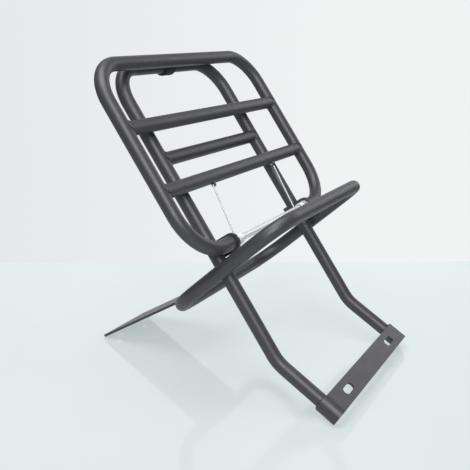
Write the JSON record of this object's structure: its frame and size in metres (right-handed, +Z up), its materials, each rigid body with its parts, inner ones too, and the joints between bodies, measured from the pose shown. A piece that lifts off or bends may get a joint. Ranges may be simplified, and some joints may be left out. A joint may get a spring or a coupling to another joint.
{
  "type": "folding luggage rack",
  "caption": "Folding luggage carrier of bent tube: a hoop tray hinged on a rod above a support loop, with a seat plate and a slotted bracket to bolt it to a scooter.",
  "frame": {"origin": "on the ground under the centre of the bounding box, with the carrier standing on the edge of its seat plate and its bracket", "axes": "+X across the carrier, to the right seen from the tray side; +Y back towards the seat plate; +Z up"},
  "size_m": [0.3554, 0.3714, 0.3765],
  "materials": {
    "black_powder_coat": "satin black powder coat",
    "bright_zinc": "bright zinc plate",
    "spring_wire": "zinc plated spring wire",
    "black_nylon": "matt moulded nylon",
    "black_rubber": "matt rubber"
  },
  "bodies": {
    "frame": {"frame_tube": "black_powder_coat", "frame_crossbar": "black_powder_coat", "support_loop": "black_powder_coat", "seat_plate": "black_powder_coat", "lower_bracket": "black_powder_coat", "top_buffer": "black_rubber", "hinge_rod": "bright_zinc", "left_ear": "black_powder_coat", "left_nut": "bright_zinc", "left_spring_coil": "spring_wire", "left_spring_tail": "spring_wire", "right_ear": "black_powder_coat", "right_nut": "bright_zinc", "right_spring_coil": "spring_wire", "right_spring_tail": "spring_wire"},
    "tray": {"tray_hoop": "black_powder_coat", "tray_upper_bar": "black_powder_coat", "tray_lower_bar": "black_powder_coat", "left_bush": "black_nylon", "left_washer": "black_nylon", "left_spring_leg": "spring_wire", "left_spring_eye": "black_powder_coat", "right_bush": "black_nylon", "right_washer": "black_nylon", "right_spring_leg": "spring_wire", "right_spring_eye": "black_powder_coat"}
  },
  "joints": [
    {"name": "tray_fold", "type": "hinge", "parent": "frame", "child": "tray", "pos_m": [0, -0.04441, 0.17926], "axis": [1, 0, 0], "range_deg": [0, 86.4], "stiffness_Nm_per_rad": 0.45, "springref_deg": -20.05}
  ]
}
